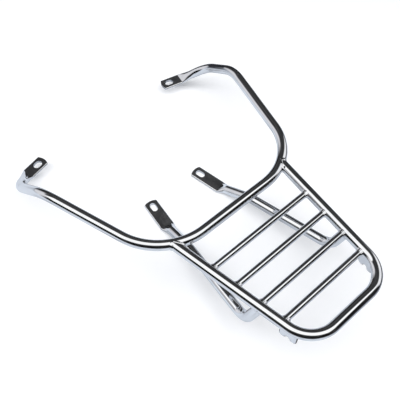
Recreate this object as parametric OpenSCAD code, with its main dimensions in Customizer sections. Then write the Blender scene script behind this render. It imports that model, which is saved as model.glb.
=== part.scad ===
// Motorcycle luggage rack bent from round tube and welded, all pieces chrome plated.
// One hoop tube carries the rack at its two flattened, slotted ends.
// A U-shaped loop tube with four cross bars forms the platform behind the hoop.
// Two lower arms run forward under the platform to two more slotted ends.
// Frame: +X right, +Y forward to the slotted ends, +Z up, origin under the middle of the outline.
// Sizes are in millimetres and degrees.

/* [Tubes] */
// Outside diameter of the hoop, the loop and the lower arms
tube_d = 16; // [14:0.5:18]
// Wall thickness of those tubes
wall = 2; // [1.5:0.1:2.5]
// Diameter of the solid cross bars
bar_d = 10; // [8:0.5:12]
// Root gap left at every welded joint
weld_gap = 0.1; // [0.05:0.05:0.3]

/* [Platform] */
// Height of the platform centre lines above the underside of the lower tabs
platform_z = 100; // [95:1:110]
// Half the spacing of the loop's side tubes, measured at the line of the hoop's cross run
side_half = 108; // [100:1:112]
// Angle by which each side tube runs inward to the rear
side_taper = 8.4; // [6:0.2:10]
// Distance from the hoop's cross run to the rear run of the loop
platform_len = 222; // [210:1:240]
// Bend radius of the two rear corners of the loop
rear_bend = 46; // [36:1:50]
// Distance from the hoop's cross run to the first cross bar
bar_first = 54; // [46:1:60]
// Distance from the last cross bar to the rear run
bar_rear = 49; // [45:1:52]
// How much closer the last two cross bars stand than the other pairs
bar_ease = 4; // [0:0.5:6]

/* [Hoop] */
// Half length of the cross run up to the crossing of its centre lines
hoop_half = 135.4; // [130:0.2:140]
// Bend radius where the cross run turns forward
hoop_bend = 98; // [90:1:100]
// Crossing of centre lines at the shoulder, sideways
shoulder_x = 196; // [190:1:200]
// Crossing of centre lines at the shoulder, forward of the cross run
shoulder_y = 208; // [204:1:214]
// Bend radius of the shoulder
shoulder_bend = 75; // [60:1:85]
// Crossing of centre lines above the hoop tab, sideways
knee_x = 205; // [202:1:208]
// Crossing of centre lines above the hoop tab, forward of the cross run
knee_y = 283; // [280:1:286]
// Drop of that crossing under the platform
knee_drop = 50; // [44:1:54]
// Bend radius above the hoop tab
knee_bend = 58; // [40:1:60]

/* [Hoop tabs] */
// Middle of the tab's root line, sideways
hoop_tab_x = 170; // [166:0.5:172]
// Middle of the tab's root line, forward of the cross run
hoop_tab_y = 322; // [318:1:326]
// Height of the hoop tab's underside above the underside of the lower tabs
hoop_tab_lift = 13.2; // [8:0.2:18]
// Turn of the tab forward of straight inboard
hoop_tab_turn = 13.5; // [8:0.5:18]
// Length of the flat up to its tip corners
hoop_tab_len = 34.5; // [33:0.5:40]
// Distance of the slot centre from the root line
hoop_slot_at = 22.9; // [20:0.1:24]
// Width of the slot
hoop_slot_w = 12; // [9:0.5:13]
// Length of the slot along the tab
hoop_slot_len = 16; // [14:0.5:18]

/* [Lower arms] */
// Joint of the arm under the side tube, rearward of the third cross bar
arm_set = 2.5; // [0:0.5:4]
// Crossing of centre lines at the rear bend, inboard of the side tube's line at the cross run
heel_in = 17.2; // [14:0.2:22]
// Crossing of centre lines at the rear bend, forward of the joint
heel_run = 18.9; // [15:0.1:22]
// Drop of the rear bend under the platform
heel_drop = 63.6; // [58:0.2:68]
// Bend radius at the rear
heel_bend = 28; // [24:1:34]
// Crossing of centre lines at the front bend, inboard of the side tube's line at the cross run
toe_in = 40.1; // [38:0.1:44]
// Crossing of centre lines at the front bend, forward of the cross run
toe_y = 29.2; // [24:0.2:34]
// Drop of the front bend under the platform
toe_drop = 74; // [70:0.5:78]
// Bend radius at the front
toe_bend = 43; // [30:1:60]

/* [Lower tabs] */
// Middle of the tab's root line, inboard of the side tube's line at the cross run
arm_tab_in = 49.5; // [47:0.5:52]
// Middle of the tab's root line, forward of the cross run
arm_tab_y = 90.9; // [88:0.1:94]
// Turn of the tab inboard of straight forward
arm_tab_turn = 8.8; // [5:0.2:12]
// Length of the flat up to its tip corners
arm_tab_len = 53.3; // [52:0.1:58]
// Distance of the slot centre from the root line
arm_slot_at = 43; // [38:0.5:44]
// Width of the slot
arm_slot_w = 10; // [8:0.5:12]
// Length of the slot along the tab
arm_slot_len = 17; // [14:0.5:18]

/* [Flattened ends] */
// Gap left between the two walls where a tube is pressed flat
seam = 0.4; // [0.2:0.1:0.6]
// Length over which the round tube changes to the flat tab
pinch_len = 24; // [20:1:28]
// Radius of the rounded tab tips
tip_r = 22; // [18:1:30]

/* [Hook plates] */
// Length of a plate along the side tube
hook_len = 28; // [26:1:32]
// Thickness of a plate
hook_t = 3; // [2:0.5:4]
// Depth of a plate under the tube's centre line
hook_drop = 31; // [26:0.5:34]
// Middle of the plate, forward of the loop's rear run
hook_gap = 36; // [34:0.5:38]
// Radius of the two lobes of its lower edge
lobe_r = 6.2; // [5:0.1:6.5]
// Radius of the notch between the lobes
notch_r = 4; // [3:0.25:4.5]
// Depth of that notch
notch_depth = 5.5; // [4:0.5:7]

/* [Welds] */
// Height of the bead between two main tubes
bead = 1.4; // [1:0.1:1.8]
// Radius of the hollow fillet around the end of a cross bar
fillet_r = 3.5; // [3:0.25:4]
// Rise of that fillet over the bar
fillet_rise = 2.3; // [1.8:0.1:2.8]
// Diameter of the vent holes drilled for plating
vent_d = 3.2; // [2.5:0.1:4]

/* [Hidden] */
$fn = 64;
chrome = [0.80, 0.81, 0.83];
// Clearance cutters and the flattened section follow from the tube and its wall.
bore_d = tube_d - 2 * wall;
cope_d = tube_d + 2 * weld_gap;
low_bead_d = tube_d + 1.6 * bead;
tab_t = 2 * wall + seam;
tab_w = (tube_d - wall) * PI / 2 + wall;
tip_rise = tip_r - sqrt(tip_r * tip_r - tab_w * tab_w / 4);
skin = 0.02;
// Bends are this much fatter than the straights, which run a short way into them.
swell = 0.1;
lap = 0.5;
// The pressed part stands this far inside the skin of the tube and of the tab where it enters them.
tuck = 0.1;
// The outline's middle in Y lies between the hoop tab's corner and the back of the loop.
front_y = hoop_tab_y + hoop_tab_len * sin(hoop_tab_turn) + tab_w / 2 * cos(hoop_tab_turn);
mid_y = (front_y - platform_len - tube_d / 2) / 2;
home = [0, -mid_y, platform_z];
// Bars by number, rearward of the cross run.
bar_pitch = (platform_len - bar_first - bar_rear + bar_ease) / 3;
bar_ys = [-bar_first, -bar_first - bar_pitch, -bar_first - 2 * bar_pitch, bar_rear - platform_len];
rear_corner = [side_x(-platform_len), -platform_len, 0];
// The side tube's centre line meets the hoop's bend here.
bend_c = [hoop_half - hoop_bend * tan(hoop_turn() / 2), hoop_bend];
joint_y = meet_y(12, 4);
hoop_joint = [side_x(joint_y), joint_y, 0];
arm_joint_y = bar_ys[2] - arm_set;
arm_joint = [side_x(arm_joint_y), arm_joint_y, 0];
heel = [side_half - heel_in, arm_joint_y + heel_run, -heel_drop];
toe = [side_half - toe_in, toe_y, -toe_drop];
knee = [knee_x, knee_y, -knee_drop];
shoulder = [shoulder_x, shoulder_y, 0];
hoop_corner = [hoop_half, 0, 0];
hoop_tab_o = [hoop_tab_x, hoop_tab_y, hoop_tab_lift - platform_z + tab_t / 2];
arm_tab_o = [side_half - arm_tab_in, arm_tab_y, tab_t / 2 - platform_z];
hook_y = hook_gap - platform_len;
hoop_tab_dir = [-cos(hoop_tab_turn), sin(hoop_tab_turn), 0];
arm_tab_dir = [-sin(arm_tab_turn), cos(arm_tab_turn), 0];
hoop_pinch = hoop_tab_o - unit(hoop_tab_o - knee) * pinch_len;
arm_pinch = arm_tab_o - unit(arm_tab_o - toe) * pinch_len;
hoop_pts = [flip(hoop_pinch, -1), flip(knee, -1), flip(shoulder, -1), flip(hoop_corner, -1),
    hoop_corner, shoulder, knee, hoop_pinch];
hoop_rs = [0, knee_bend, shoulder_bend, hoop_bend, hoop_bend, shoulder_bend, knee_bend, 0];
loop_pts = [flip(hoop_joint, -1), flip(rear_corner, -1), rear_corner, hoop_joint];
loop_rs = [0, rear_bend, rear_bend, 0];
arm_pts = [arm_pinch, toe, heel, arm_joint];
arm_rs = [0, toe_bend, heel_bend, 0];

function unit(v) = v / norm(v);
// Point p on the right side for k = 1 and on the left side for k = -1.
function flip(p, k) = [k * p.x, p.y, p.z];
function flip_all(p, k) = [for (q = p) flip(q, k)];
function side_x(y) = side_half + y * tan(side_taper);
function hoop_turn() = atan2(shoulder_y, shoulder_x - hoop_half);
// Fixed-point search for the crossing of the side line and the bend's circle.
function meet_y(y, n) = n == 0 ? y :
    meet_y(bend_c.y - sqrt(pow(hoop_bend, 2) - pow(side_x(y) - bend_c.x, 2)), n - 1);
function turn_at(p, i) = acos(unit(p[i] - p[i - 1]) * unit(p[i + 1] - p[i]));
// Length taken from each side of a corner by its bend.
function trim(p, r, i) = r[i] == 0 ? 0 : r[i] * tan(turn_at(p, i) / 2);

// Round rod from a to b.
module rod(a, b, d) {
    v = b - a;
    translate(a)
        rotate([0, acos(v.z / norm(v)), atan2(v.y, v.x)])
            cylinder(d = d, h = norm(v));
}

// Round bend of radius r at the middle one of three points.
module elbow(a, b, c, r, d, bore = 0) {
    u = unit(b - a);
    w = unit(c - b);
    turn = acos(u * w);
    m = unit(w - u * (u * w));
    n = cross(u, m);
    o = b - u * r * tan(turn / 2) + m * r;
    multmatrix([[-m.x, u.x, n.x, o.x], [-m.y, u.y, n.y, o.y], [-m.z, u.z, n.z, o.z], [0, 0, 0, 1]])
        rotate_extrude(angle = turn)
            translate([r, 0])
                difference() {
                    circle(d = d);
                    if (bore > 0)
                        circle(d = bore);
                }
}

// Bent rod along corner points with a bend radius at each inner corner.
module bent_rod(p, r, d) {
    for (i = [1 : len(p) - 2])
        elbow(p[i - 1], p[i], p[i + 1], r[i], d + swell);
    for (i = [0 : len(p) - 2]) {
        u = unit(p[i + 1] - p[i]);
        back = i == 0 ? 0 : lap - trim(p, r, i);
        over = i == len(p) - 2 ? 0 : lap - trim(p, r, i + 1);
        rod(p[i] - u * back, p[i + 1] + u * over, d);
    }
}

// Bent pipe along the same kind of list, open at both ends.
module bent_pipe(p, r, d, bore) {
    z = len(p) - 1;
    difference() {
        bent_rod(p, r, d);
        bent_rod(p, r, bore);
        rod(p[0] + unit(p[0] - p[1]), p[0] + unit(p[1] - p[0]), bore - swell);
        rod(p[z] + unit(p[z] - p[z - 1]), p[z] + unit(p[z - 1] - p[z]), bore - swell);
    }
}

// Straight pipe from a to b.
module pipe(a, b, d, bore) {
    u = unit(b - a);
    difference() {
        rod(a, b, d);
        rod(a - u, b + u, bore);
    }
}

// Thin section across direction v at point o, its width kept level.
module section(o, v, w, h) {
    u = unit(v);
    s = unit(cross(u, [0, 0, 1]));
    t = cross(s, u);
    multmatrix([[s.x, t.x, u.x, o.x], [s.y, t.y, u.y, o.y], [s.z, t.z, u.z, o.z], [0, 0, 0, 1]])
        linear_extrude(skin)
            resize([w, h])
                circle(d = w, $fn = 32);
}

// Thin flat section with round edges at the root of a tab.
module flat_section(o, v, w, h) {
    u = unit(v);
    s = unit(cross(u, [0, 0, 1]));
    multmatrix([[s.x, 0, u.x, o.x], [s.y, 0, u.y, o.y], [0, 1, 0, o.z], [0, 0, 0, 1]])
        linear_extrude(skin)
            union() {
                square([w - h, h], center = true);
                for (k = [-1, 1])
                    translate([k * (w - h) / 2, 0])
                        circle(d = h, $fn = 16);
            }
}

// Press of a tube end: round section at a, flat section at b, both walls kept.
module pinch(a, b, v) {
    u = unit(b - a);
    m = a + (b - a) * 0.5 + (u - v) * pinch_len * 0.04;
    difference() {
        union() {
            hull() {
                section(a - u * lap, u, tube_d - 2 * tuck, tube_d - 2 * tuck);
                section(m, u + v * 0.5, tube_d * 1.22, tube_d * 0.72);
            }
            hull() {
                section(m, u + v * 0.5, tube_d * 1.22, tube_d * 0.72);
                flat_section(b + v * lap, v, tab_w - 2 * tuck, tab_t - tuck);
            }
        }
        hull() {
            section(a - u, u, bore_d + 3 * tuck, bore_d + 3 * tuck);
            flat_section(a + (b - a) * 0.8, u + v, bore_d, seam * 2);
        }
    }
}

// Slotted tab with its root line at o, running along the level direction v.
module tab(o, v, length, slot_at, slot_w, slot_len) {
    c = length + tip_rise - tip_r;
    straight = c + sqrt(tip_r * tip_r - pow(tab_w / 2 + 1, 2));
    core = tab_w - tab_t;
    translate(o)
        rotate([0, 0, atan2(v.y, v.x)])
            difference() {
                intersection() {
                    union() {
                        translate([0, -core / 2, -tab_t / 2])
                            cube([length + tip_rise + 1, core, tab_t]);
                        for (k = [-1, 1])
                            translate([0, k * core / 2, 0])
                                rotate([0, 90, 0])
                                    cylinder(d = tab_t, h = length + tip_rise + 1);
                    }
                    union() {
                        translate([c, 0, -tab_t])
                            cylinder(r = tip_r, h = 2 * tab_t);
                        translate([-1, -tab_w, -tab_t])
                            cube([straight + 1, 2 * tab_w, 2 * tab_t]);
                    }
                }
                for (k = [-1, 1])
                    translate([slot_at + k * (slot_len - slot_w) / 2, 0, -tab_t])
                        cylinder(d = slot_w, h = 2 * tab_t);
                translate([slot_at - (slot_len - slot_w) / 2, -slot_w / 2, -tab_t])
                    cube([slot_len - slot_w, slot_w, 2 * tab_t]);
                // The seam between the two pressed walls opens in the slot and at the tip.
                translate([slot_at - slot_len, -core / 2, -seam / 2])
                    cube([length, core, seam]);
            }
}

// Right side for k = 1 and left side for k = -1, here and in the modules below.
module side_rod(k, d) {
    rod(flip(rear_corner, k), flip(hoop_joint, k), d);
}

module hoop_arc(k, d, bore = 0) {
    elbow(flip(hoop_corner, -k), flip(hoop_corner, k), flip(shoulder, k), hoop_bend, d + swell, bore);
}

// Space kept round an end of bar i for its fillet.
module bar_room(i, k) {
    p = [k * side_x(bar_ys[i]), bar_ys[i], 0];
    rod(p, p - [k * (tube_d + fillet_r), 0, 0], bar_d + 2 * fillet_rise + 2 * weld_gap);
}

// Upright drill for the vent hole in the top wall near the front joint.
module loop_vent(k) {
    y = joint_y - tube_d * 0.9;
    translate([k * side_x(y), y, 0])
        cylinder(d = vent_d, h = tube_d);
}

module hoop_end(k) {
    pinch(flip(hoop_pinch, k), flip(hoop_tab_o, k), flip(hoop_tab_dir, k));
    tab(flip(hoop_tab_o, k), flip(hoop_tab_dir, k), hoop_tab_len,
        hoop_slot_at, hoop_slot_w, hoop_slot_len);
}

module hoop_tube() {
    color(chrome)
        translate(home) {
            bent_pipe(hoop_pts, hoop_rs, tube_d, bore_d);
            hoop_end(1);
            hoop_end(-1);
        }
}

module loop_tube() {
    color(chrome)
        translate(home)
            difference() {
                bent_rod(loop_pts, loop_rs, tube_d);
                bent_rod(loop_pts, loop_rs, bore_d);
                for (k = [-1, 1]) {
                    hoop_arc(k, cope_d);
                    loop_vent(k);
                }
            }
}

module crossbar(i) {
    color(chrome)
        translate(home)
            difference() {
                rod([-side_x(bar_ys[i]), bar_ys[i], 0], [side_x(bar_ys[i]), bar_ys[i], 0], bar_d);
                side_rod(1, cope_d);
                side_rod(-1, cope_d);
            }
}

module lower_arm(k) {
    color(chrome)
        translate(home) {
            difference() {
                bent_rod(flip_all(arm_pts, k), arm_rs, tube_d);
                bent_rod(flip_all(arm_pts, k), arm_rs, bore_d);
                side_rod(k, cope_d);
                bar_room(2, k);
                arm_vent(k);
            }
            pinch(flip(arm_pinch, k), flip(arm_tab_o, k), flip(arm_tab_dir, k));
            tab(flip(arm_tab_o, k), flip(arm_tab_dir, k), arm_tab_len,
                arm_slot_at, arm_slot_w, arm_slot_len);
        }
}

// Drill for the vent hole in the arm's rear wall under the side tube.
module arm_vent(k) {
    p = arm_joint - unit(arm_joint - heel) * tube_d * 0.95;
    rod(flip(p, k), flip(p, k) - [0, tube_d, 0], vent_d);
}

// Frame of the hook plate: X along the side tube to the rear, Z up, on its centre line.
module at_hook(k) {
    translate([k * side_x(hook_y), hook_y, 0])
        rotate([0, 0, -90 - k * side_taper])
            children();
}

// Side-to-side pin through the plate, for its lobes and its notch.
module hook_pin(x, z, r) {
    translate([x, hook_t, z])
        rotate([90, 0, 0])
            cylinder(r = r, h = 2 * hook_t);
}

module hook_plate(k) {
    color(chrome)
        translate(home)
            difference() {
                at_hook(k)
                    difference() {
                        intersection() {
                            translate([-hook_len / 2, -hook_t / 2, -hook_drop])
                                cube([hook_len, hook_t, hook_drop - bore_d / 2]);
                            union() {
                                translate([-hook_len, -hook_t, lobe_r - hook_drop])
                                    cube([2 * hook_len, 2 * hook_t, hook_drop]);
                                for (j = [-1, 1])
                                    hook_pin(j * (hook_len / 2 - lobe_r), lobe_r - hook_drop, lobe_r);
                            }
                        }
                        hook_pin(0, notch_depth - notch_r - hook_drop, notch_r);
                    }
                bent_rod(flip_all(loop_pts, k), loop_rs, cope_d);
            }
}

// Bead on the outer face for j = 1 and on the inner face for j = -1.
module hook_weld(k, j) {
    color(chrome)
        translate(home)
            difference() {
                intersection() {
                    bent_rod(flip_all(loop_pts, k), loop_rs, tube_d + 2 * bead);
                    at_hook(k)
                        translate([0, j * k * (hook_t / 2 + weld_gap + bead / 2), -hook_drop / 2 - bore_d / 4])
                            cube([hook_len, bead, hook_drop - bore_d / 2], center = true);
                }
                bent_rod(flip_all(loop_pts, k), loop_rs, cope_d);
            }
}

// Bead along the saddle between the side tube and the hoop's bend.
module hoop_weld(k) {
    color(chrome)
        translate(home)
            intersection() {
                pipe(flip(rear_corner, k), flip(hoop_joint, k), tube_d + 2 * bead, cope_d + 3 * weld_gap);
                hoop_arc(k, low_bead_d, cope_d + swell);
            }
}

// Bead along the saddle between the arm's rise and the side tube.
module arm_weld(k) {
    color(chrome)
        translate(home)
            difference() {
                intersection() {
                    pipe(flip(heel, k), flip(arm_joint, k), tube_d + 2 * bead, cope_d + 2 * weld_gap);
                    pipe(flip(rear_corner, k), flip(hoop_joint, k), low_bead_d, cope_d);
                }
                bar_room(2, k);
            }
}

// Hollow fillet round an end of bar i, coped onto the side tube.
module bar_weld(i, k) {
    face = tube_d / 2;
    color(chrome)
        translate(home)
            difference() {
                translate([k * side_x(bar_ys[i]), bar_ys[i], 0])
                    rotate([0, -90 * k, 0])
                        difference() {
                            cylinder(d = bar_d + 2 * fillet_rise, h = face + fillet_r);
                            translate([0, 0, face + fillet_r])
                                rotate_extrude()
                                    translate([bar_d / 2 + weld_gap + fillet_r, 0])
                                        circle(r = fillet_r);
                            cylinder(d = bar_d + 2 * weld_gap, h = face + 2 * fillet_r);
                        }
                side_rod(k, cope_d);
            }
}

hoop_tube();
loop_tube();
crossbar(0);  // crossbar_1
crossbar(1);  // crossbar_2
crossbar(2);  // crossbar_3
crossbar(3);  // crossbar_4
lower_arm(1);  // right_lower_arm
lower_arm(-1);  // left_lower_arm
hook_plate(1);  // right_hook_plate
hook_plate(-1);  // left_hook_plate
hoop_weld(1);  // right_hoop_weld
hoop_weld(-1);  // left_hoop_weld
arm_weld(1);  // right_arm_weld
arm_weld(-1);  // left_arm_weld
hook_weld(1, 1);  // right_hook_weld_outer
hook_weld(1, -1);  // right_hook_weld_inner
hook_weld(-1, 1);  // left_hook_weld_outer
hook_weld(-1, -1);  // left_hook_weld_inner
bar_weld(0, 1);  // right_bar_weld_1
bar_weld(1, 1);  // right_bar_weld_2
bar_weld(2, 1);  // right_bar_weld_3
bar_weld(3, 1);  // right_bar_weld_4
bar_weld(0, -1);  // left_bar_weld_1
bar_weld(1, -1);  // left_bar_weld_2
bar_weld(2, -1);  // left_bar_weld_3
bar_weld(3, -1);  // left_bar_weld_4
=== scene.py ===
"""Chrome motorcycle luggage rack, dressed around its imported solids.

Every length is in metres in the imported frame: +X right, +Y forward to the slotted
ends, +Z up. The tubes are drawn again along the same centre lines as the solids,
with finer pressed ends and rippled welds, and each drawn piece stands for its solid.
"""

import logging
import math
from dataclasses import dataclass
from enum import Enum

import bmesh
import bpy
from bmesh.types import BMEdge, BMesh, BMVert
from bpy.types import Material, Node, NodeSocket, NodeTree, Object
from mathutils import Matrix, Vector


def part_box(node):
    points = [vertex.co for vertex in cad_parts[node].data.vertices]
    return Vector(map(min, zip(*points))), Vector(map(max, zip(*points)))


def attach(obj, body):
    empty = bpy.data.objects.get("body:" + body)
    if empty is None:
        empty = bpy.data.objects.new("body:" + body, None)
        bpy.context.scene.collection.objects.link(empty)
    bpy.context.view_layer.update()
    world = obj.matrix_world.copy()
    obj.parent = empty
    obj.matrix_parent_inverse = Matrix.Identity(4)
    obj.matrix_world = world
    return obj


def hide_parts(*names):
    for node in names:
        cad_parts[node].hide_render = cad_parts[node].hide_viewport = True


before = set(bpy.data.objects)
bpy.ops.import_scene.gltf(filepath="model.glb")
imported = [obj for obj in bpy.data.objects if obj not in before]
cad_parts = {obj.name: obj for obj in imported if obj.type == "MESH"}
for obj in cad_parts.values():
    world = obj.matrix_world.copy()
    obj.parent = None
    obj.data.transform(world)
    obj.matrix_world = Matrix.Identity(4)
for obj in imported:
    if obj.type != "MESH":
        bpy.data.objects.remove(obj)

LOG = logging.getLogger("luggage_rack")
ROOT_BODY = "root"
MM = 0.001
SAME_SPOT = 1e-6
UP = Vector((0.0, 0.0, 1.0))

Rgba = tuple[float, float, float, float]
Span = tuple[float, float]


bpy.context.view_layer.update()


class Side(Enum):
    """A half of the rack, with the sign of its X."""

    RIGHT = 1
    LEFT = -1

    @property
    def word(self) -> str:
        """Name of the half in lower case, as the node names have it."""
        return self.name.lower()

    @property
    def outward(self) -> Vector:
        """Direction from the middle of the rack to this half."""
        return Vector((float(self.value), 0.0, 0.0))

    def flip(self, point: Vector) -> Vector:
        """Return a point or direction of the right half moved to this half."""
        return Vector((point.x * self.value, point.y, point.z))


def mm(x: float, y: float, z: float) -> Vector:
    """Return a vector given in millimetres."""
    return Vector((x, y, z)) * MM


@dataclass(frozen=True)
class RackSizes:
    """Driving sizes of the rack, measured from the middle of the hoop's cross run."""

    tube_r: float = 8.0 * MM
    wall: float = 2.0 * MM
    bar_r: float = 5.0 * MM
    side_half: float = 108.0 * MM
    side_taper: float = math.radians(8.4)
    platform_len: float = 222.0 * MM
    rear_bend: float = 46.0 * MM
    bar_ys: tuple[float, ...] = (-54.0 * MM, -95.0 * MM, -136.0 * MM, -173.0 * MM)
    hoop_corner: Vector = mm(135.4, 0.0, 0.0)
    hoop_bend: float = 98.0 * MM
    shoulder: Vector = mm(196.0, 208.0, 0.0)
    shoulder_bend: float = 75.0 * MM
    knee: Vector = mm(205.0, 283.0, -50.0)
    knee_bend: float = 58.0 * MM
    arm_joint_y: float = -138.5 * MM
    heel: Vector = mm(90.8, -119.6, -63.6)
    heel_bend: float = 28.0 * MM
    toe: Vector = mm(67.9, 29.2, -74.0)
    toe_bend: float = 43.0 * MM
    tab_t: float = 4.4 * MM
    seam: float = 0.4 * MM
    tip_r: float = 22.0 * MM
    vent_r: float = 1.6 * MM
    hook_y: float = -186.0 * MM
    hook_len: float = 28.0 * MM
    hook_t: float = 3.0 * MM

    @property
    def tab_w(self) -> float:
        """Width that the tube has where it is pressed flat."""
        return (2 * self.tube_r - self.wall) * math.pi / 2 + self.wall

    @property
    def tip_rise(self) -> float:
        """Height of the arc at a tab's tip over its corners."""
        return self.tip_r - math.sqrt(self.tip_r**2 - self.tab_w**2 / 4)

    def side_point(self, y: float) -> Vector:
        """Return the place on the right side tube's centre line at a place along Y."""
        return Vector((self.side_half + y * math.tan(self.side_taper), y, 0.0))

    @property
    def side_way(self) -> Vector:
        """Direction of the right side tube, from the rear towards the hoop."""
        return Vector((math.sin(self.side_taper), math.cos(self.side_taper), 0.0))

    @property
    def side_out(self) -> Vector:
        """Level direction square to the right side tube, away from the platform."""
        return Vector((self.side_way.y, -self.side_way.x, 0.0))

    @property
    def bend_centre(self) -> Vector:
        """Find the centre of the hoop's right bend.

        Returns:
            The centre, level with the cross run.
        """
        away = self.shoulder - self.hoop_corner
        turn = math.atan2(away.y, away.x)
        return Vector((self.hoop_corner.x - self.hoop_bend * math.tan(turn / 2), self.hoop_bend, 0.0))

    @property
    def hoop_joint(self) -> Vector:
        """Find where the right side tube meets the hoop's bend, by closing in on it.

        Returns:
            The place where both centre lines cross.
        """
        y, centre = 0.0, self.bend_centre
        for _ in range(12):
            run = self.side_point(y).x - centre.x
            y = centre.y - math.sqrt(self.hoop_bend**2 - run**2)
        return self.side_point(y)


@dataclass(frozen=True)
class TabSizes:
    """A flattened, slotted end of the right half, with the press that leads to it.

    A late press of 1 slopes evenly, and a higher one is steepest at the tab.
    """

    root: Vector
    turn: float
    press: float
    late: float
    length: float
    slot_at: float
    slot_w: float
    slot_len: float

    @property
    def way(self) -> Vector:
        """Level direction in which the tab runs."""
        return Vector((math.cos(self.turn), math.sin(self.turn), 0.0))

    def press_start(self, corner: Vector, side: Side) -> Vector:
        """Return where the press starts in one half, on the straight from the last bend's corner."""
        root = place(self.root, side)
        return root - (root - place(corner, side)).normalized() * self.press


SIZES = RackSizes()
HOOP_TAB = TabSizes(
    root=mm(170.0, 322.0, -84.6),
    turn=math.radians(166.5),
    press=38.0 * MM,
    late=1.2,
    length=34.5 * MM,
    slot_at=22.9 * MM,
    slot_w=12.0 * MM,
    slot_len=16.0 * MM,
)
ARM_TAB = TabSizes(
    root=mm(58.5, 90.9, -97.8),
    turn=math.radians(98.8),
    press=16.0 * MM,
    late=1.0,
    length=53.3 * MM,
    slot_at=43.0 * MM,
    slot_w=10.0 * MM,
    slot_len=17.0 * MM,
)


def frame_origin() -> Vector:
    """Find the middle of the hoop's cross run from the loop's solid.

    Returns:
        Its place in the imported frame, from which the sizes are measured.
    """
    low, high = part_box("loop_tube")
    rear_run = low.y + SIZES.tube_r
    return Vector((0.0, rear_run + SIZES.platform_len, (low.z + high.z) / 2))


ORIGIN = frame_origin()


def place(point: Vector, side: Side = Side.RIGHT) -> Vector:
    """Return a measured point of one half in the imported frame."""
    return ORIGIN + side.flip(point)


class Bench:
    """Short calls that add nodes to one tree and return their output sockets."""

    def __init__(self, tree: NodeTree) -> None:
        """Take the tree."""
        self.tree = tree

    def add(self, kind: str, values: dict[str | int, object] | None = None, **facts: object) -> Node:
        """Add a node.

        Args:
            kind: its type.
            values: input name or number to a socket or a constant.
            facts: other properties of the node.

        Returns:
            The node.
        """
        node = self.tree.nodes.new(kind)
        for name, value in facts.items():
            setattr(node, name, value)
        for name, value in (values or {}).items():
            if isinstance(value, NodeSocket):
                self.tree.links.new(value, node.inputs[name])
            else:
                node.inputs[name].default_value = value
        return node

    def math(self, operation: str, *values: object) -> NodeSocket:
        """Return the result of a sum on one, two or three values."""
        return self.add("ShaderNodeMath", dict(enumerate(values)), operation=operation).outputs[0]

    def dot(self, a: object, b: object) -> NodeSocket:
        """Return the dot product of two vectors."""
        return self.add("ShaderNodeVectorMath", {0: a, 1: b}, operation="DOT_PRODUCT").outputs["Value"]

    def fit(
        self, value: object, low: float, high: float, out_low: object = 0.0, out_high: object = 1.0
    ) -> NodeSocket:
        """Move a value smoothly from one range to another, and hold it at the ends.

        Args:
            value: the value.
            low: where the first range begins.
            high: where it ends.
            out_low: what low becomes.
            out_high: what high becomes.

        Returns:
            The moved value.
        """
        ranges = {"Value": value, "From Min": low, "From Max": high, "To Min": out_low, "To Max": out_high}
        return self.add("ShaderNodeMapRange", ranges, interpolation_type="SMOOTHSTEP").outputs["Result"]

    def mix(self, factor: object, a: object, b: object) -> NodeSocket:
        """Return a blend of two colours."""
        node = self.add("ShaderNodeMix", {"Factor": factor, "A": a, "B": b}, data_type="RGBA")
        return node.outputs["Result"]

    def ramp(self, value: object, stops: tuple[Span, ...], blue: float = 1.04) -> NodeSocket:
        """Read a brightness off a curve.

        Args:
            value: the place on the curve, from 0 to 1.
            stops: places and the levels there.
            blue: how much stronger blue is than red and green.

        Returns:
            The brightness as a colour.
        """
        node = self.add("ShaderNodeValToRGB", {"Fac": value})
        node.color_ramp.interpolation = "EASE"
        band = node.color_ramp.elements
        while len(band) < len(stops):
            band.new(0.5)
        for element, (at, level) in zip(band, stops):
            element.position = at
            element.color = (level, level, level * blue, 1.0)
        return node.outputs["Color"]

    def noise(self, where: object, scale: float, detail: float = 2.0) -> NodeSocket:
        """Return a cloudy value at a place, with so many clouds to a metre."""
        values = {"Vector": where, "Scale": scale, "Detail": detail}
        return self.add("ShaderNodeTexNoise", values).outputs["Fac"]

    def join(self, out: NodeSocket, into: NodeSocket) -> None:
        """Link an output to an input that is there already."""
        self.tree.links.new(out, into)


def colour(red: float, green: float, blue: float) -> Rgba:
    """Return an opaque colour."""
    return (red, green, blue, 1.0)


WHITE = colour(1.0, 1.0, 1.0)


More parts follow.
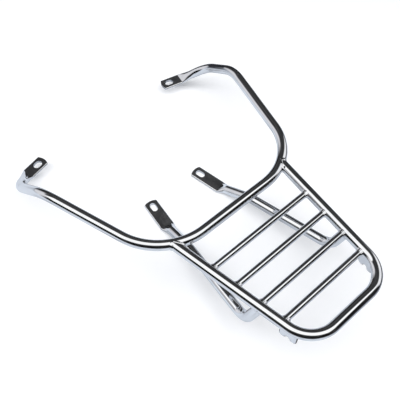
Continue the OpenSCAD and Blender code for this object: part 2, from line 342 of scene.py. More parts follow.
def plating_marks() -> NodeTree:
    """Build the shader group that gives plated metal its marks.

    Returns:
        A group that turns two tints, two gloss levels and three amounts into a Color,
        a Roughness and a Height, all varying over the surface.
    """
    tree = bpy.data.node_groups.new("plating_marks", "ShaderNodeTree")
    sockets = (
        ("INPUT", "NodeSocketColor", ("Clean", "Hazed")),
        ("INPUT", "NodeSocketFloat", ("Polish", "Dull", "Scratch", "Wave", "Ripple")),
        ("OUTPUT", "NodeSocketColor", ("Color",)),
        ("OUTPUT", "NodeSocketFloat", ("Roughness", "Height")),
    )
    for way, kind, names in sockets:
        for name in names:
            tree.interface.new_socket(name=name, in_out=way, socket_type=kind)
    bench = Bench(tree)
    given = bench.add("NodeGroupInput").outputs
    spot = bench.add("ShaderNodeTexCoord").outputs["Object"]
    haze = bench.fit(bench.noise(spot, 34.0, 5.0), 0.46, 0.74)
    grain = bench.noise(spot, 820.0, 3.0)
    # The hairlines are noise drawn out along a slanting direction.
    slant = bench.add("ShaderNodeMapping", {"Vector": spot, "Rotation": (0.4, 0.3, 0.7), "Scale": (1.0, 0.06, 1.0)})
    hair = bench.fit(bench.noise(slant.outputs["Vector"], 1300.0, 1.0), 0.64, 0.74)
    scratch = bench.math("MULTIPLY", hair, given["Scratch"])
    film = bench.math("MULTIPLY_ADD", bench.math("MULTIPLY", haze, grain), 1.2, scratch)
    wave = bench.math("MULTIPLY", bench.noise(spot, 42.0, 1.0), given["Wave"])
    ripple = bench.math("MULTIPLY_ADD", bench.noise(spot, 190.0, 2.0), given["Ripple"], wave)
    height = bench.math("MULTIPLY_ADD", scratch, -0.004, ripple)
    out = bench.add("NodeGroupOutput").inputs
    bench.join(bench.mix(haze, given["Clean"], given["Hazed"]), out["Color"])
    bench.join(bench.fit(film, 0.0, 1.0, given["Polish"], given["Dull"]), out["Roughness"])
    bench.join(height, out["Height"])
    return tree


@dataclass(frozen=True)
class PlatedFinish:
    """Plated metal, or a near-black metal that is painted shade, from the tints and the wear of one kind of surface.
    """

    name: str
    clean: Rgba
    hazed: Rgba
    polish: float
    dull: float
    scratch: float
    wave: float
    ripple: float
    relief: float = 1.0 * MM

    def material(self, marks: NodeTree) -> Material:
        """Make the material.

        Args:
            marks: the shared group from plating_marks().

        Returns:
            A metal whose colour, gloss and relief come from the group.
        """
        made = bpy.data.materials.new(self.name)
        made.use_nodes = True
        bench = Bench(made.node_tree)
        shader = made.node_tree.nodes["Principled BSDF"]
        shader.inputs["Metallic"].default_value = 1.0
        group = bench.add("ShaderNodeGroup", node_tree=marks)
        for given in group.inputs:
            given.default_value = getattr(self, given.name.lower())
        bump = bench.add("ShaderNodeBump", {"Height": group.outputs["Height"], "Distance": self.relief})
        bench.join(group.outputs["Color"], shader.inputs["Base Color"])
        bench.join(group.outputs["Roughness"], shader.inputs["Roughness"])
        bench.join(bump.outputs["Normal"], shader.inputs["Normal"])
        return made


BRIGHT = PlatedFinish(
    "bright_chrome",
    clean=colour(0.84, 0.845, 0.86),
    hazed=colour(0.78, 0.79, 0.81),
    polish=0.02,
    dull=0.09,
    scratch=0.5,
    wave=0.10,
    ripple=0.006,
)
PRESSED = PlatedFinish(
    "pressed_chrome",
    clean=colour(0.82, 0.825, 0.84),
    hazed=colour(0.74, 0.75, 0.77),
    polish=0.04,
    dull=0.16,
    scratch=0.8,
    wave=0.35,
    ripple=0.05,
)
WELDED = PlatedFinish(
    "weld_chrome",
    clean=colour(0.82, 0.825, 0.84),
    hazed=colour(0.66, 0.67, 0.69),
    polish=0.05,
    dull=0.2,
    scratch=0.4,
    wave=0.2,
    ripple=0.16,
)
# Near-black metal: painted shade on the vent holes' walls and a painted dark reflection on the hook plates' edges.
PAINTED_SHADE_FINISH = PlatedFinish(
    "painted_shade_metal",
    clean=colour(0.09, 0.085, 0.08),
    hazed=colour(0.04, 0.035, 0.03),
    polish=0.45,
    dull=0.8,
    scratch=0.5,
    wave=0.2,
    ripple=0.1,
)


@dataclass
class Palette:
    """The materials made from the finishes."""

    bright: Material
    pressed: Material
    welded: Material
    # near-black metal that paints shade and dark reflection
    painted_shade: Material

    @classmethod
    def mix(cls) -> "Palette":
        """Make every material once, on one shared group."""
        marks = plating_marks()
        return cls(*(finish.material(marks) for finish in (BRIGHT, PRESSED, WELDED, PAINTED_SHADE_FINISH)))


def to_object(name: str, mesh: BMesh) -> Object:
    """Turn a drawn mesh into an object of the scene.

    Args:
        name: name of the object and its mesh.
        mesh: the drawn mesh, freed here.

    Returns:
        The object, at the origin.
    """
    data = bpy.data.meshes.new(name)
    mesh.to_mesh(data)
    mesh.free()
    obj = bpy.data.objects.new(name, data)
    bpy.context.scene.collection.objects.link(obj)
    return obj


def facing(at: Vector, way: Vector) -> Matrix:
    """Return the matrix that moves a shape drawn along Z to a place and a direction."""
    return Matrix.Translation(at) @ way.to_track_quat("Z", "Y").to_matrix().to_4x4()


def flat_point(angle: float, width: float, thick: float) -> tuple[float, float]:
    """Return where a point of the round tube comes to lie on a pressed section.

    Args:
        angle: place on the round tube, from its side towards its top.
        width: width of the pressed section.
        thick: its thickness, also twice the radius of its rounded edges.

    Returns:
        The place across and up from the middle of the pressed section.
    """
    half = thick / 2
    flat = (width - thick) / 2
    curl = half * math.pi / 2
    turn = abs((angle + math.pi / 2) % math.pi - math.pi / 2)
    along = turn / (math.pi / 2) * (flat + curl)
    if along < curl:
        x = flat + half * math.cos(along / half)
        y = half * math.sin(along / half)
    else:
        x = flat - (along - curl)
        y = half
    return math.copysign(x, math.cos(angle)), math.copysign(y, math.sin(angle))


class TubeDrawer:
    """Skin of a tube, drawn by pulling, spinning and pressing one ring of edges."""

    def __init__(self, radius: float, at: Vector, way: Vector, sides: int = 120) -> None:
        """Start a ring.

        Args:
            radius: outside radius of the tube.
            at: middle of the first ring.
            way: direction in which the tube sets off.
            sides: number of edges in a ring.
        """
        self.mesh = bmesh.new()
        self.at = at.copy()
        self.way = way.normalized()
        made = bmesh.ops.create_circle(
            self.mesh, cap_ends=False, radius=radius, segments=sides, matrix=facing(self.at, self.way)
        )
        self.edges = list({e for v in made["verts"] for e in v.link_edges})

    @property
    def ring(self) -> list[BMVert]:
        """Corners of the last ring."""
        return list({v for e in self.edges for v in e.verts})

    def _step(self) -> list[BMVert]:
        """Pull a copy of the last ring, which becomes the last one.

        Returns:
            Its corners, still in the same place.
        """
        out = bmesh.ops.extrude_edge_only(self.mesh, edges=self.edges)
        verts = [g for g in out["geom"] if isinstance(g, BMVert)]
        fresh = set(verts)
        edges = (g for g in out["geom"] if isinstance(g, BMEdge))
        self.edges = [e for e in edges if e.verts[0] in fresh and e.verts[1] in fresh]
        return verts

    def run_to(self, spot: Vector, steps: int = 1) -> None:
        """Pull the ring straight to a place.

        Args:
            spot: the place on the centre line.
            steps: rings drawn on the way.
        """
        part = (spot - self.at) / steps
        for _ in range(steps):
            bmesh.ops.translate(self.mesh, verts=self._step(), vec=part)
        self.at = spot.copy()

    def bend_to(self, way: Vector, radius: float, degrees_a_step: float = 2.0) -> None:
        """Spin the ring round a bend.

        Args:
            way: direction in which the tube leaves the bend.
            radius: bend radius of the centre line.
            degrees_a_step: longest turn between two rings.
        """
        way = way.normalized()
        turn = self.way.angle(way)
        inward = (way - self.way * self.way.dot(way)).normalized()
        axis = self.way.cross(inward)
        centre = self.at + inward * radius
        out = bmesh.ops.spin(
            self.mesh,
            geom=self.edges,
            cent=centre,
            axis=axis,
            angle=turn,
            steps=max(4, math.ceil(math.degrees(turn) / degrees_a_step)),
            use_duplicate=False,
        )
        self.edges = [g for g in out["geom_last"] if isinstance(g, BMEdge)]
        self.at = centre + Matrix.Rotation(turn, 3, axis) @ (self.at - centre)
        self.way = way

    def follow(self, corners: list[Vector], radii: list[float]) -> None:
        """Draw straights and bends along the corners that are left.

        Args:
            corners: the corners, the last one being the end.
            radii: bend radius at each corner but the last.
        """
        for here, after, radius in zip(corners, corners[1:], radii):
            way = (after - here).normalized()
            trim = radius * math.tan(self.way.angle(way) / 2)
            self.run_to(here - self.way * trim)
            self.bend_to(way, radius)
        self.run_to(corners[-1])

    def press_to(self, root: Vector, way: Vector, late: float, steps: int = 18) -> None:
        """Press the ring flat, as a die does.

        Args:
            root: middle of the flat section where the tab begins.
            way: level direction of the tab.
            late: 1 for an even slope, more for a slope that is steepest at the tab.
            steps: rings drawn on the way.
        """
        axis = root - self.at
        across = self.way.cross(UP).normalized()
        rise = across.cross(self.way)
        flat_across = way.cross(UP).normalized()
        aims = {}
        for v in self.ring:
            off = v.co - self.at
            x, y = flat_point(math.atan2(off.dot(rise), off.dot(across)), SIZES.tab_w, SIZES.tab_t)
            aims[v] = (v.co.copy(), root + flat_across * x + UP * y)
        for k in range(1, steps + 1):
            fresh = {}
            for v in self._step():
                start, end = next(aims[e.other_vert(v)] for e in v.link_edges if e.other_vert(v) in aims)
                change = (end - start - axis) * (k / steps) ** late
                v.co = start + axis * k / steps + change
                fresh[v] = (start, end)
            aims = fresh
        self.at, self.way = root.copy(), way.normalized()

    def round_tip(self, length: float, steps: int = 8, level: float = 0.1 * MM) -> None:
        """Pull the pressed ring out to a tab with an arc at its tip, and close it.

        Args:
            length: length of the tab up to the corners of its tip.
            steps: rings drawn on the way.
            level: height within which a corner counts as lying on the tab's edge.
        """
        across = self.way.cross(UP).normalized()
        root = self.at.copy()
        for k in range(1, steps + 1):
            for v in self._step():
                side = (v.co - root).dot(across)
                end = length + SIZES.tip_rise - SIZES.tip_r + math.sqrt(SIZES.tip_r**2 - side**2)
                v.co += self.way * (end * k / steps - (v.co - root).dot(self.way))
        last = list(self.edges)
        high = [e for e in last if all(v.co.z > root.z + level for v in e.verts)]
        low = [e for e in last if all(v.co.z < root.z - level for v in e.verts)]
        bmesh.ops.bridge_loops(self.mesh, edges=high + low)
        bmesh.ops.holes_fill(self.mesh, edges=[e for e in last if e.is_boundary], sides=0)

    def draw_tab(self, tab: TabSizes, side: Side, reach: float = 120.0 * MM) -> None:
        """Press the ring, draw the tab and give all that is pressed the second material.

        Args:
            tab: sizes of the tab.
            side: half of the rack that it is on.
            reach: a length that the press and the tab stay within.
        """
        start, fall = self.at.copy(), self.way.copy()
        self.press_to(place(tab.root, side), side.flip(tab.way), tab.late)
        self.round_tip(tab.length)
        for f in self.mesh.faces:
            off = f.calc_center_median() - start
            if off.length < reach and off.dot(fall) > 0.0:
                f.material_index = 1

    def swell(self, ratio: float) -> None:
        """Scale the last ring about its middle."""
        about = Matrix.Translation(-self.at)
        bmesh.ops.scale(self.mesh, vec=(ratio, ratio, ratio), verts=self.ring, space=about)

    def close(self) -> BMesh:
        """Fill the ends that are still open.

        Returns:
            The closed mesh, facing outward.
        """
        edges = [e for e in self.mesh.edges if e.is_boundary]
        bmesh.ops.holes_fill(self.mesh, edges=edges, sides=0)
        bmesh.ops.recalc_face_normals(self.mesh, faces=self.mesh.faces)
        return self.mesh


def tab_cutters(tab: TabSizes, side: Side) -> tuple[BMesh, BMesh]:
    """Make what a tab has to lose: its punched slot and the air between its walls.

    Args:
        tab: sizes of the tab.
        side: half of the rack that it is on.

    Returns:
        An upright slot with round ends, and a thin level slab.
    """
    slot, seam = bmesh.new(), bmesh.new()
    made = bmesh.ops.create_circle(slot, cap_ends=True, radius=tab.slot_w / 2, segments=64)
    reach = (tab.slot_len - tab.slot_w) / 2
    for v in made["verts"]:
        v.co.x += math.copysign(reach, v.co.x)
    solid = bmesh.ops.extrude_face_region(slot, geom=slot.faces[:])
    raised = [g for g in solid["geom"] if isinstance(g, BMVert)]
    bmesh.ops.translate(slot, verts=raised, vec=UP * SIZES.tab_t * 3)
    bmesh.ops.create_cube(seam, size=1.0)
    width = SIZES.tab_w - SIZES.tab_t
    bmesh.ops.scale(seam, vec=(tab.length, width, SIZES.seam), verts=seam.verts)
    way = side.flip(tab.way)
    turn = Matrix.Rotation(math.atan2(way.y, way.x), 4, "Z")
    seam_at = tab.slot_at - tab.slot_len + tab.length / 2
    for mesh, along, drop in ((slot, tab.slot_at, 1.5), (seam, seam_at, 0.0)):
        centre = place(tab.root, side) + way * along - UP * SIZES.tab_t * drop
        bmesh.ops.transform(mesh, matrix=Matrix.Translation(centre) @ turn, verts=mesh.verts)
        bmesh.ops.recalc_face_normals(mesh, faces=mesh.faces)
    return slot, seam


def vent_drill(start: Vector, way: Vector, depth: float, material: int) -> BMesh:
    """Make the round cutter for a vent hole.

    Args:
        start: middle of its first end.
        way: direction to its other end.
        depth: its length.
        material: index of the material that the hole's wall takes.

    Returns:
        The closed cutter.
    """
    mesh = bmesh.new()
    r = SIZES.vent_r
    where = facing(start + way * depth / 2, way)
    bmesh.ops.create_cone(mesh, cap_ends=True, segments=40, radius1=r, radius2=r, depth=depth, matrix=where)
    for f in mesh.faces:
        f.material_index = material
    return mesh


def join(parts: list[BMesh]) -> BMesh:
    """Add meshes together.

    Args:
        parts: the meshes, all but the first freed here.

    Returns:
        The first mesh, with the others in it.
    """
    whole = parts[0]
    for part in parts[1:]:
        data = bpy.data.meshes.new("scratch")
        part.to_mesh(data)
        part.free()
        whole.from_mesh(data)
        bpy.data.meshes.remove(data)
    return whole


def cut(mesh: BMesh, cutters: list[BMesh]) -> BMesh:
    """Take cutters away from a closed mesh.

    Args:
        mesh: the closed mesh, freed here.
        cutters: closed meshes that don't meet each other, freed here.

    Returns:
        The mesh that is left.
    """
    blank, cutter = to_object("blank", mesh), to_object("cutter", join(cutters))
    step = blank.modifiers.new("cut", "BOOLEAN")
    step.operation = "DIFFERENCE"
    step.solver = "EXACT"
    step.object = cutter
    done = blank.evaluated_get(bpy.context.evaluated_depsgraph_get())
    out = bmesh.new()
    out.from_mesh(done.data)
    for obj in (blank, cutter):
        data = obj.data
        bpy.data.objects.remove(obj)
        bpy.data.meshes.remove(data)
    return out


@dataclass
class Piece:
    """A drawn piece: its name, the solids it stands for and a material slot name, which nothing reads."""

    name: str
    stands_for: tuple[str, ...]
    slot: str = "chrome"
    crease: float = math.radians(18.0)

    def finish(self, mesh: BMesh, materials: list[Material]) -> None:
        """Turn the drawn mesh into an object that rides on the frame.

        Args:
            mesh: the bmesh, freed here.
            materials: its materials, in the order of the faces' indices.
        """
        bmesh.ops.remove_doubles(mesh, verts=mesh.verts, dist=SAME_SPOT / 2)
        bmesh.ops.recalc_face_normals(mesh, faces=mesh.faces)
        for f in mesh.faces:
            f.smooth = True
        obj = to_object(self.name, mesh)
        obj.data.set_sharp_from_angle(angle=self.crease)
        for material in materials:
            obj.data.materials.append(material)
        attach(obj, ROOT_BODY)
        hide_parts(*self.stands_for)
        LOG.info("%s: %d faces", self.name, len(obj.data.polygons))


@dataclass
class HoopTube:
    """The wide hoop: one tube with both ends pressed flat."""

    palette: Palette
    sizes: RackSizes = SIZES
    tab: TabSizes = HOOP_TAB

    def _half(self, side: Side) -> BMesh:
        """Draw one half.

        Args:
            side: which half.

        Returns:
            Its skin, from the middle of the cross run to the tip of its tab.
        """
        s = self.sizes
        corners = [place(p, side) for p in (s.hoop_corner, s.shoulder, s.knee)]
        corners.append(self.tab.press_start(s.knee, side))
        drawer = TubeDrawer(s.tube_r, ORIGIN, side.outward)
        drawer.follow(corners, [s.hoop_bend, s.shoulder_bend, s.knee_bend])
        drawer.draw_tab(self.tab, side)
        return drawer.mesh

    def build(self) -> None:
        """Draw both halves, punch the slots and open the seams."""
        mesh = join([self._half(side) for side in Side])
        bmesh.ops.remove_doubles(mesh, verts=mesh.verts, dist=SAME_SPOT)
        bmesh.ops.recalc_face_normals(mesh, faces=mesh.faces)
        slots, seams = zip(*(tab_cutters(self.tab, side) for side in Side))
        mesh = cut(cut(mesh, slots), seams)
        Piece("hoop_skin", ("hoop_tube",)).finish(mesh, [self.palette.bright, self.palette.pressed])


@dataclass
class LoopTube:
    """The U-shaped platform tube, with a vent hole near each front joint.

    The vents' distance behind the joints and their depth are in radii of the tube.
    """

    palette: Palette
    sizes: RackSizes = SIZES
    vent_back: float = 1.72
    vent_lean: float = 0.42
    vent_depth: float = 1.7

    def build(self) -> None:
        """Draw the tube from joint to joint and drill its vents."""
        s = self.sizes
        rear = s.side_point(-s.platform_len)
        drawer = TubeDrawer(s.tube_r, place(s.hoop_joint, Side.LEFT), Side.LEFT.flip(-s.side_way))
        corners = [place(rear, Side.LEFT), place(rear), place(s.hoop_joint)]
        drawer.follow(corners, [s.rear_bend, s.rear_bend])
        vents = []
        for side in Side:
            vent = place(s.side_point(s.hoop_joint.y - s.tube_r * self.vent_back), side)
            out = UP.lerp(-side.outward, self.vent_lean).normalized()
            # The vent's wall takes the near-black metal: painted shade inside the hole.
            vents.append(vent_drill(vent + out * s.tube_r * 2, -out, s.tube_r * self.vent_depth, 1))
        mesh = cut(drawer.close(), vents)
        Piece("loop_skin", ("loop_tube",)).finish(mesh, [self.palette.bright, self.palette.painted_shade])


@dataclass
class LowerArm:
    """One bent arm under the platform, with a pressed end and a vent hole.

    The vent's distance from the joint and its depth past the centre line are in radii
    of the tube.
    """

    side: Side
    palette: Palette
    sizes: RackSizes = SIZES
    tab: TabSizes = ARM_TAB
    vent_down: float = 1.9
    vent_past: float = 0.3

    def build(self) -> None:
        """Draw the arm from its joint to the tip of its tab, then open slot, vent and seam."""
        s, side = self.sizes, self.side
        joint, heel = place(s.side_point(s.arm_joint_y), side), place(s.heel, side)
        corners = [heel, place(s.toe, side), self.tab.press_start(s.toe, side)]
        drawer = TubeDrawer(s.tube_r, joint, heel - joint)
        drawer.follow(corners, [s.heel_bend, s.toe_bend])
        drawer.draw_tab(self.tab, side)
        vent = joint + (heel - joint).normalized() * s.tube_r * self.vent_down
        back = Vector((0.0, -1.0, 0.0))
        # The vent's wall takes the near-black metal: painted shade inside the hole.
        hole = vent_drill(vent - back * s.tube_r * self.vent_past, back, s.tube_r * 2, 2)
        slot, seam = tab_cutters(self.tab, side)
        mesh = cut(cut(drawer.close(), [slot, hole]), [seam])
        piece = Piece(side.word + "_arm_skin", (side.word + "_lower_arm",))
        piece.finish(mesh, [self.palette.bright, self.palette.pressed, self.palette.painted_shade])


@dataclass
class CrossBars:
    """The four solid bars across the platform."""

    palette: Palette
    sizes: RackSizes = SIZES
    inset: float = 0.8
    sides: int = 64
    rings: int = 12

    def build(self) -> None:
        """Draw each bar, ending inside the side tubes, so many tube radii from their middles."""
        s = self.sizes
        for number, y in enumerate(s.bar_ys, 1):
            start, end = (
                place(s.side_point(y), side) - side.outward * s.tube_r * self.inset
                for side in (Side.LEFT, Side.RIGHT)
            )
            drawer = TubeDrawer(s.bar_r, start, end - start, self.sides)
            drawer.run_to(end, self.rings)
            piece = Piece(f"bar_skin_{number}", (f"crossbar_{number}",))
            piece.finish(drawer.close(), [self.palette.bright])


@dataclass
class HookPlate:
    """One notched plate under a side tube: the left plate's solid, mirrored for the right.

    The plating rounds its edges and its flat sides are bright; the cut edge and its rounding take near-black metal as
    a painted dark reflection.
    """

    side: Side
    palette: Palette
    rounding: float = 1.1 * MM
    level: float = math.radians(0.5)
    sharp: float = math.radians(50.0)
    flat_limit: float = 0.985

    def build(self) -> None:
        """Copy the solid's faces, clean them, round their edges and find the flat sides."""
        node = self.side.word + "_hook_plate"
        mesh = bmesh.new()
        mesh.from_mesh(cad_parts["left_hook_plate"].data)
        bmesh.ops.scale(mesh, vec=(-self.side.value, 1.0, 1.0), verts=mesh.verts)
        bmesh.ops.remove_doubles(mesh, verts=mesh.verts, dist=SAME_SPOT)
        bmesh.ops.dissolve_limit(mesh, angle_limit=self.level, verts=mesh.verts, edges=mesh.edges)
        bmesh.ops.recalc_face_normals(mesh, faces=mesh.faces)
        edges = [e for e in mesh.edges if len(e.link_faces) == 2 and e.calc_face_angle() > self.sharp]
        bmesh.ops.bevel(
            mesh, geom=edges, offset=self.rounding, affect="EDGES", segments=3, profile=0.5, material=-1
        )
        mesh.normal_update()
        outward = self.side.flip(SIZES.side_out)
        for f in mesh.faces:
            # Every face but the flat sides takes the near-black metal: painted dark reflection along the cut edge.
            f.material_index = 0 if abs(f.normal.dot(outward)) > self.flat_limit else 1
        Piece(node + "_skin", (node,)).finish(mesh, [self.palette.bright, self.palette.painted_shade])


@dataclass(frozen=True)
class Straight:
    """An endless straight centre line with the radius of its tube."""

    point: Vector
    way: Vector
    radius: float

    def nearest(self, spot: Vector) -> Vector:
        """Return the nearest place on the line."""
        return self.point + self.way * (spot - self.point).dot(self.way)


@dataclass(frozen=True)
class Arc:
    """A level circle as centre line, with the radius of its tube."""

    centre: Vector
    bend: float
    radius: float

    def nearest(self, spot: Vector) -> Vector:
        """Find the nearest place on the circle.

        Args:
            spot: a place near it.

        Returns:
            The place on it.
        """
        out = spot - self.centre
        out.z = 0.0
        return self.centre + out.normalized() * self.bend


@dataclass(frozen=True)
class BeadSizes:
    """Sizes of a bead round a joint: its two reaches, its lift and its overlapping scales.

    A scale sinks by depth, a share of the bead's size. The bead's rims lie just under
    both skins, and its root lies deeper.
    """

    on_branch: float
    on_main: float
    lift: float
    scales: int
    depth: float
    steps: int = 168
    rows: int = 9
    rim: float = 0.12 * MM
    root: float = 1.2 * MM


HOOP_BEAD = BeadSizes(3.4 * MM, 3.0 * MM, 1.3 * MM, scales=22, depth=0.07)
ARM_BEAD = BeadSizes(3.4 * MM, 2.8 * MM, 2.0 * MM, scales=24, depth=0.14)
BAR_BEAD = BeadSizes(4.0 * MM, 2.6 * MM, 1.0 * MM, scales=18, depth=0.12, steps=144)


@dataclass
class WeldRing:
    """A bead or fillet all round the end of a branch on a main tube."""

    branch: Straight
    main: Straight | Arc
    sizes: BeadSizes

    def _corner(self, angle: float) -> tuple[Vector, Vector, Vector]:
        """Find the corner between both skins by halving a span of the branch.

        Args:
            angle: angle round the branch.

        Returns:
            The corner, the branch's outward direction there and the main tube's.
        """
        branch, main = self.branch, self.main
        out = Matrix.Rotation(angle, 3, branch.way) @ branch.way.orthogonal().normalized()
        low, high = 0.0, 4 * main.radius
        for _ in range(30):
            mid = (low + high) / 2
            spot = branch.point + branch.way * mid + out * branch.radius
            if (spot - main.nearest(spot)).length < main.radius:
                low = mid
            else:
                high = mid
        spot = branch.point + branch.way * high + out * branch.radius
        return spot, out, (spot - main.nearest(spot)).normalized()

    def _sink(self, line: Straight | Arc, spot: Vector) -> Vector:
        """Return a place moved to just under a tube's skin."""
        centre = line.nearest(spot)
        return centre + (spot - centre).normalized() * (line.radius - self.sizes.rim)

    def _profile(self, angle: float) -> list[Vector]:
        """Work out the bead's section.

        Args:
            angle: angle round the branch.

        Returns:
            The corners of the closed section, the root last.
        """
        b = self.sizes
        spot, out, rise = self._corner(angle)
        scale = 1 - b.depth * (1 - abs(math.sin(b.scales * angle / 2)))
        on_branch = self._sink(self.branch, spot + self.branch.way * b.on_branch * scale)
        away = out - self.branch.way
        away = (away - rise * away.dot(rise)).normalized()
        on_main = self._sink(self.main, spot + away * b.on_main * scale)
        hump = (out + rise).normalized()
        peak = spot + hump * b.lift * scale
        points = []
        for k in range(b.rows):
            t = k / (b.rows - 1)
            points.append(on_branch * (1 - t) ** 2 + peak * 2 * t * (1 - t) + on_main * t**2)
        return [*points, spot - hump * b.root]

    def draw(self) -> BMesh:
        """Bend a flat grid round the joint, section by section.

        Returns:
            The bead, closed once doubled corners are merged.
        """
        steps, rows = self.sizes.steps, self.sizes.rows + 1
        mesh = bmesh.new()
        sections = [self._profile(2 * math.pi * k / steps) for k in range(steps)]
        bmesh.ops.create_grid(mesh, x_segments=steps, y_segments=rows, size=0.5)
        for v in mesh.verts:
            step, row = round((v.co.x + 0.5) * steps), round((v.co.y + 0.5) * rows)
            v.co = sections[step % steps][row % rows]
        return mesh


@dataclass
class StraightBead:
    """A short bead along a straight corner, in overlapping scales, thin at both ends."""

    start: Vector
    end: Vector
    radius: float = 1.2 * MM
    scales: int = 9
    depth: float = 0.2
    thin: float = 0.3
    rings_a_scale: int = 8

    def draw(self) -> BMesh:
        """Pull a ring along the bead, swelling it at each scale.

        Returns:
            The closed bead.
        """
        drawer = TubeDrawer(self.radius, self.start, self.end - self.start, 28)
        drawer.swell(self.thin)
        steps = self.scales * self.rings_a_scale
        size = self.thin
        for k in range(1, steps + 1):
            t = k / steps
            round_off = min(1.0, math.sqrt(max(0.0, 1 - (2 * abs(t - 0.5)) ** 8)) + self.thin)
            fresh = (1 - self.depth * (1 - abs(math.sin(self.scales * math.pi * t)))) * round_off
            drawer.run_to(self.start.lerp(self.end, t))
            drawer.swell(fresh / size)
            size = fresh
        return drawer.close()


@dataclass
class Welds:
    """Every weld of one half of the rack, with the place of a bead along a hook plate."""

    side: Side
    palette: Palette
    sizes: RackSizes = SIZES
    bead_off: float = 0.5 * MM
    bead_sunk: float = 0.1 * MM
    bead_short: float = 1.5 * MM

    def _finish(self, name: str, mesh: BMesh) -> None:
        """Turn one weld into a piece that stands for its solid."""
        node = self.side.word + "_" + name
        Piece(node + "_skin", (node,), "weld_chrome", math.radians(60.0)).finish(mesh, [self.palette.welded])

    def build(self) -> None:
        """Draw the hoop, arm, bar and hook welds."""
        s, side = self.sizes, self.side
        line = Straight(place(s.side_point(0.0), side), side.flip(s.side_way), s.tube_r)
        hoop = Arc(place(s.bend_centre, side), s.hoop_bend, s.tube_r)
        end = Straight(place(s.hoop_joint, side), -line.way, s.tube_r)
        foot = place(s.side_point(s.arm_joint_y), side)
        arm = Straight(foot, (place(s.heel, side) - foot).normalized(), s.tube_r)
        self._finish("hoop_weld", WeldRing(end, hoop, HOOP_BEAD).draw())
        self._finish("arm_weld", WeldRing(arm, line, ARM_BEAD).draw())
        for number, y in enumerate(s.bar_ys, 1):
            bar = Straight(place(s.side_point(y), side), -side.outward, s.bar_r)
            self._finish(f"bar_weld_{number}", WeldRing(bar, line, BAR_BEAD).draw())
        self._hook_beads(line)

    def _hook_beads(self, line: Straight) -> None:
        """Draw the two beads along a hook plate.

        Args:
            line: the side tube that the plate hangs from.
        """
        s = self.sizes
        middle = place(s.side_point(s.hook_y), self.side)
        off = s.hook_t / 2 + self.bead_off
        drop = UP * (math.sqrt(s.tube_r**2 - off**2) + self.bead_sunk)
        half = line.way * (s.hook_len / 2 - self.bead_short)
        for word, sign in (("outer", 1.0), ("inner", -1.0)):
            corner = middle + self.side.flip(s.side_out) * sign * off - drop
            self._finish("hook_weld_" + word, StraightBead(corner - half, corner + half).draw())


@dataclass
class StudioCamera:
    """Camera at the photograph's viewing angle, level, with no shift and no blur."""

    azimuth: float = math.radians(-42.13)
    elevation: float = math.radians(54.89)
    focal_px: float = 620.0
    frame_px: float = 400.0
    sensor: float = 36.0
    sees: Span = (0.01, 60.0)
    spot: Vector = Vector((-0.3845, -0.3484, 0.7506))

    def build(self) -> None:
        """Make the camera and set it as the scene's camera."""
        data = bpy.data.cameras.new("studio_camera")
        data.sensor_width = self.sensor
        data.sensor_fit = "HORIZONTAL"
        data.lens = self.focal_px / self.frame_px * self.sensor
        data.clip_start, data.clip_end = self.sees
        camera = bpy.data.objects.new("studio_camera", data)
        flat = math.cos(self.elevation)
        back = Vector((math.sin(self.azimuth) * flat, -math.cos(self.azimuth) * flat, math.sin(self.elevation)))
        camera.rotation_euler = back.to_track_quat("Z", "Y").to_euler()
        camera.location = ORIGIN + self.spot
        bpy.context.scene.collection.objects.link(camera)
        bpy.context.scene.camera = camera


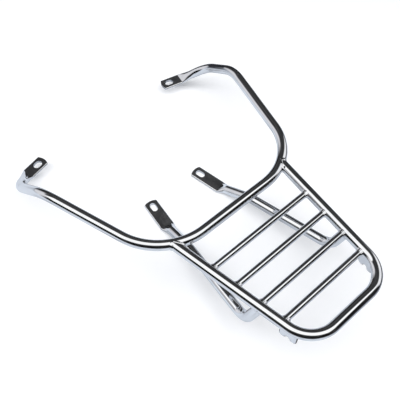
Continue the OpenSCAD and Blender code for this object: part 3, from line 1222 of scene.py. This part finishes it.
@dataclass
class Studio:
    """White floor, one wide soft light over it, and a room that chrome can mirror.

    The light's edges are its distances from the rack, right and away as the camera
    sees them, for each metre of its height. The room's levels are brightnesses at
    heights, a height being the upward part of a direction of length 1.
    """

    azimuth: float = StudioCamera.azimuth
    floor_size: float = 30.0
    floor_z: float = -0.0004
    floor_tint: Rgba = colour(0.81, 0.81, 0.82)
    floor_mirrored: Rgba = colour(0.72, 0.76, 0.82)
    floor_dark: Rgba = colour(0.04, 0.04, 0.047)
    fade_away: Span = (0.25, 0.5)
    fade_near: Span = (-0.45, -0.9)
    fade_right: Span = (0.2, 0.55)
    floor_clouds: float = 0.45
    room_clouds: float = 0.06
    camera_glow: float = 0.25
    glow_reach: Span = (0.7, 4.5)
    light_height: float = 2.4
    light_right: Span = (-1.57, 0.94)
    light_away: Span = (-0.71, 0.30)
    light_edge: float = 0.05
    light_radiance: float = 2.6
    panel_level: float = 1.15
    far_levels: tuple[Span, ...] = ((0.0, 0.05), (0.1, 0.02), (0.35, 0.03), (0.6, 0.04), (1.0, 0.04))
    near_levels: tuple[Span, ...] = ((0.0, 0.01), (0.1, 0.006), (0.42, 0.006), (0.6, 0.03), (1.0, 0.03))
    wall_levels: tuple[Span, ...] = ((0.0, 0.78), (0.5, 0.78), (0.66, 0.1), (0.8, 0.03), (1.0, 0.03))
    card_sides: Span = (0.895, 0.95)
    card_foot: Span = (0.04, 0.1)
    card_top: Span = (0.70, 0.76)
    card_tint: Rgba = colour(0.95, 0.96, 0.98)
    ambient: Rgba = colour(0.10, 0.12, 0.15)

    @property
    def right(self) -> Vector:
        """Level direction to the right of the picture."""
        return Vector((math.cos(self.azimuth), math.sin(self.azimuth), 0.0))

    @property
    def away(self) -> Vector:
        """Level direction away from the camera."""
        return Vector((-math.sin(self.azimuth), math.cos(self.azimuth), 0.0))

    @property
    def wall_way(self) -> Vector:
        """Level direction of the white wall that stands to the left."""
        return self.away * 0.342 - self.right * 0.940

    @property
    def card_way(self) -> Vector:
        """Level direction of the tall white card that stands to the right."""
        return self.away * 0.421 + self.right * 0.907

    def build(self) -> None:
        """Build the floor, the light and the world."""
        bpy.context.scene.view_settings.view_transform = "Standard"
        self._floor()
        self._light()
        self._world()

    def _floor(self) -> None:
        """Lay a large pale plane; mirrors see it dark further off, except towards the wall."""
        mesh = bmesh.new()
        bmesh.ops.create_grid(mesh, x_segments=1, y_segments=1, size=self.floor_size / 2)
        material = bpy.data.materials.new("floor_white")
        material.use_nodes = True
        bench = Bench(material.node_tree)
        shader = material.node_tree.nodes["Principled BSDF"].inputs
        shader["Roughness"].default_value = 0.9
        shader["Specular IOR Level"].default_value = 0.0
        shader["Emission Color"].default_value = WHITE
        path = bench.add("ShaderNodeLightPath").outputs
        spot = bench.add("ShaderNodeTexCoord").outputs["Object"]
        far = bench.add("ShaderNodeVectorMath", {0: spot}, operation="LENGTH").outputs["Value"]
        wall = bench.math("DIVIDE", bench.dot(spot, self.wall_way), far)
        along, aside = bench.dot(spot, self.away), bench.dot(spot, self.right)
        dark = bench.math("MAXIMUM", bench.fit(along, *self.fade_away), bench.fit(along, *self.fade_near))
        dark = bench.math("MAXIMUM", dark, bench.fit(aside, *self.fade_right))
        clouds = bench.fit(bench.noise(spot, 8.0, 3.0), 0.46, 0.62, 0.0, self.floor_clouds)
        dark = bench.math("MAXIMUM", dark, clouds)
        dark = bench.math("MULTIPLY", dark, bench.fit(wall, 0.80, 0.97, 1.0, 0.25))
        mirrored = bench.mix(dark, self.floor_mirrored, self.floor_dark)
        bench.join(bench.mix(path["Is Glossy Ray"], self.floor_tint, mirrored), shader["Base Color"])
        # The glow keeps the floor white in the picture as far as it can be seen.
        glow = bench.fit(far, *self.glow_reach, self.camera_glow, 1.0)
        bench.join(bench.math("MULTIPLY", path["Is Camera Ray"], glow), shader["Emission Strength"])
        floor = to_object("studio_floor", mesh)
        floor.data.materials.append(material)
        floor.location.z = self.floor_z

    def _light(self) -> None:
        """Hang the wide soft light level over the rack; mirrors see it in the world instead."""
        h = self.light_height
        width = (self.light_right[1] - self.light_right[0]) * h
        depth = (self.light_away[1] - self.light_away[0]) * h
        data = bpy.data.lights.new("soft_panel", "AREA")
        data.shape = "RECTANGLE"
        data.size, data.size_y = width, depth
        data.energy = self.light_radiance * math.pi * width * depth
        lamp = bpy.data.objects.new("soft_panel", data)
        middle = self.right * sum(self.light_right) * h / 2 + self.away * sum(self.light_away) * h / 2
        lamp.location = Vector((0.0, ORIGIN.y, ORIGIN.z)) + middle + UP * h
        lamp.rotation_euler = (0.0, 0.0, self.azimuth)
        lamp.visible_glossy = False
        bpy.context.scene.collection.objects.link(lamp)

    def _world(self) -> None:
        """Paint the room by direction for mirrors, and plain white for the camera."""
        world = bpy.data.worlds.new("studio_room")
        bpy.context.scene.world = world
        world.use_nodes = True
        bench = Bench(world.node_tree)
        way = bench.add("ShaderNodeTexCoord").outputs["Object"]
        height = bench.dot(way, UP)
        level = bench.math("SQRT", bench.math("SUBTRACT", 1.0001, bench.math("MULTIPLY", height, height)))
        ahead, wall, beside = (
            bench.math("DIVIDE", bench.dot(way, towards), level)
            for towards in (self.away, self.wall_way, self.card_way)
        )
        far, near = bench.ramp(height, self.far_levels), bench.ramp(height, self.near_levels)
        room = bench.mix(bench.fit(ahead, -0.35, 0.35), near, far)
        clouds = bench.fit(bench.noise(way, 6.0, 4.0), 0.48, 0.72, 0.0, self.room_clouds)
        room = bench.mix(clouds, room, WHITE)
        room = bench.mix(bench.fit(wall, 0.80, 0.975), room, bench.ramp(height, self.wall_levels))
        card = bench.math("MULTIPLY", bench.fit(height, *self.card_foot), bench.fit(height, *self.card_top, 1.0, 0.0))
        card = bench.math("MULTIPLY", card, bench.fit(beside, *self.card_sides))
        room = bench.mix(card, room, self.card_tint)
        over = bench.math("MAXIMUM", height, 0.02)
        panel = bench.fit(height, 0.05, 0.1)
        edge = self.light_edge
        for towards, ends in ((self.right, self.light_right), (self.away, self.light_away)):
            at = bench.math("DIVIDE", bench.dot(way, towards), over)
            panel = bench.math("MULTIPLY", panel, bench.fit(at, ends[0] - edge, ends[0] + edge))
            panel = bench.math("MULTIPLY", panel, bench.fit(at, ends[1] - edge, ends[1] + edge, 1.0, 0.0))
        room = bench.mix(panel, room, colour(self.panel_level, self.panel_level, self.panel_level))
        path = bench.add("ShaderNodeLightPath").outputs
        room = bench.mix(path["Is Diffuse Ray"], room, self.ambient)
        room = bench.mix(path["Is Camera Ray"], room, WHITE)
        bench.join(room, world.node_tree.nodes["Background"].inputs["Color"])


def main() -> None:
    """Build the camera, the studio and the rack."""
    logging.basicConfig(level=logging.INFO, format="%(name)s: %(message)s")
    StudioCamera().build()
    Studio().build()
    palette = Palette.mix()
    HoopTube(palette).build()
    LoopTube(palette).build()
    CrossBars(palette).build()
    for side in Side:
        LowerArm(side, palette).build()
        HookPlate(side, palette).build()
        Welds(side, palette).build()
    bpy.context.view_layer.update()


if __name__ == "__main__":
    main()
